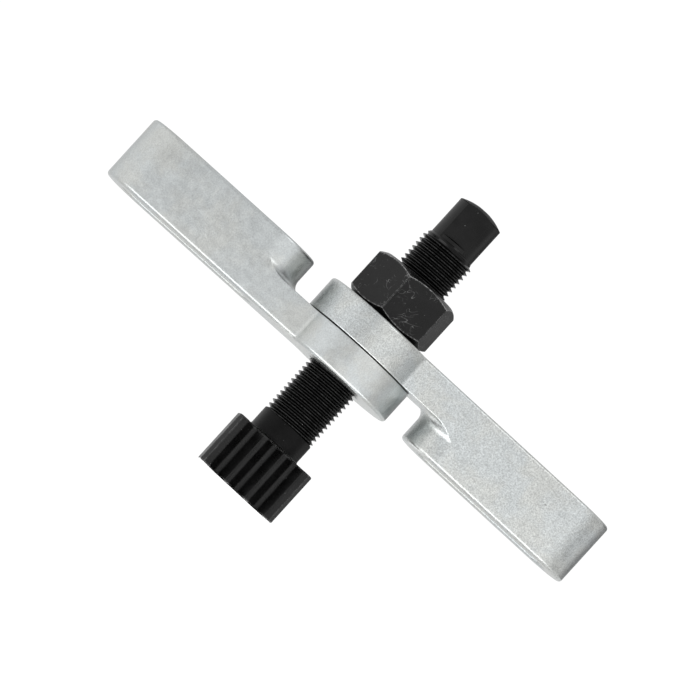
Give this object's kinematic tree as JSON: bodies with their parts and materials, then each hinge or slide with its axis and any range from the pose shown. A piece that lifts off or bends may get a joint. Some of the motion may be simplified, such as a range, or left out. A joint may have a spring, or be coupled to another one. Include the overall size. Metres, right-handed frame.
{
  "type": "gear puller",
  "caption": "Threaded spindle with a toothed head, slotted swinging arms with half-lapped eyes, and a hex nut that clamps them; holds or draws a toothed ring or gear.",
  "frame": {"origin": "on the spindle's axis, at the flat base of the toothed head", "axes": "+Z along the spindle from the toothed head to the drive end; the lower arm reaches out towards -X and the upper arm towards +X; the head's teeth face -Y"},
  "size_m": [0.1578, 0.0347, 0.0974],
  "materials": {
    "zinc_plate": "satin zinc plate, pale grey with a faint blue cast",
    "black_oxide": "oiled black oxide, semi-matt",
    "nut_black_oxide": "black oxide, worn to grey at the corners"
  },
  "bodies": {
    "spindle": {"spindle": "black_oxide"},
    "upper_arm": {"upper_arm": "zinc_plate"},
    "lower_arm": {"lower_arm": "zinc_plate"},
    "hex_nut": {"hex_nut": "nut_black_oxide"}
  },
  "joints": [
    {"name": "arms_travel", "type": "slide", "parent": "spindle", "child": "upper_arm", "axis": [0, 0, 1], "range_m": [-0.0225, 0.011]},
    {"name": "lower_arm_swing", "type": "hinge", "parent": "upper_arm", "child": "lower_arm", "pos_m": [0, 0, 0.04395], "axis": [0, 0, 1], "range_deg": [-122, 142]},
    {"name": "nut_turn", "type": "hinge", "parent": "upper_arm", "child": "hex_nut", "pos_m": [0, 0, 0.06585], "axis": [0, 0, 1], "range_deg": [-5742, 2808]}
  ],
  "couplings": [
    {"joint": "nut_turn", "follows": "arms_travel", "rad_per_m": 4453}
  ]
}
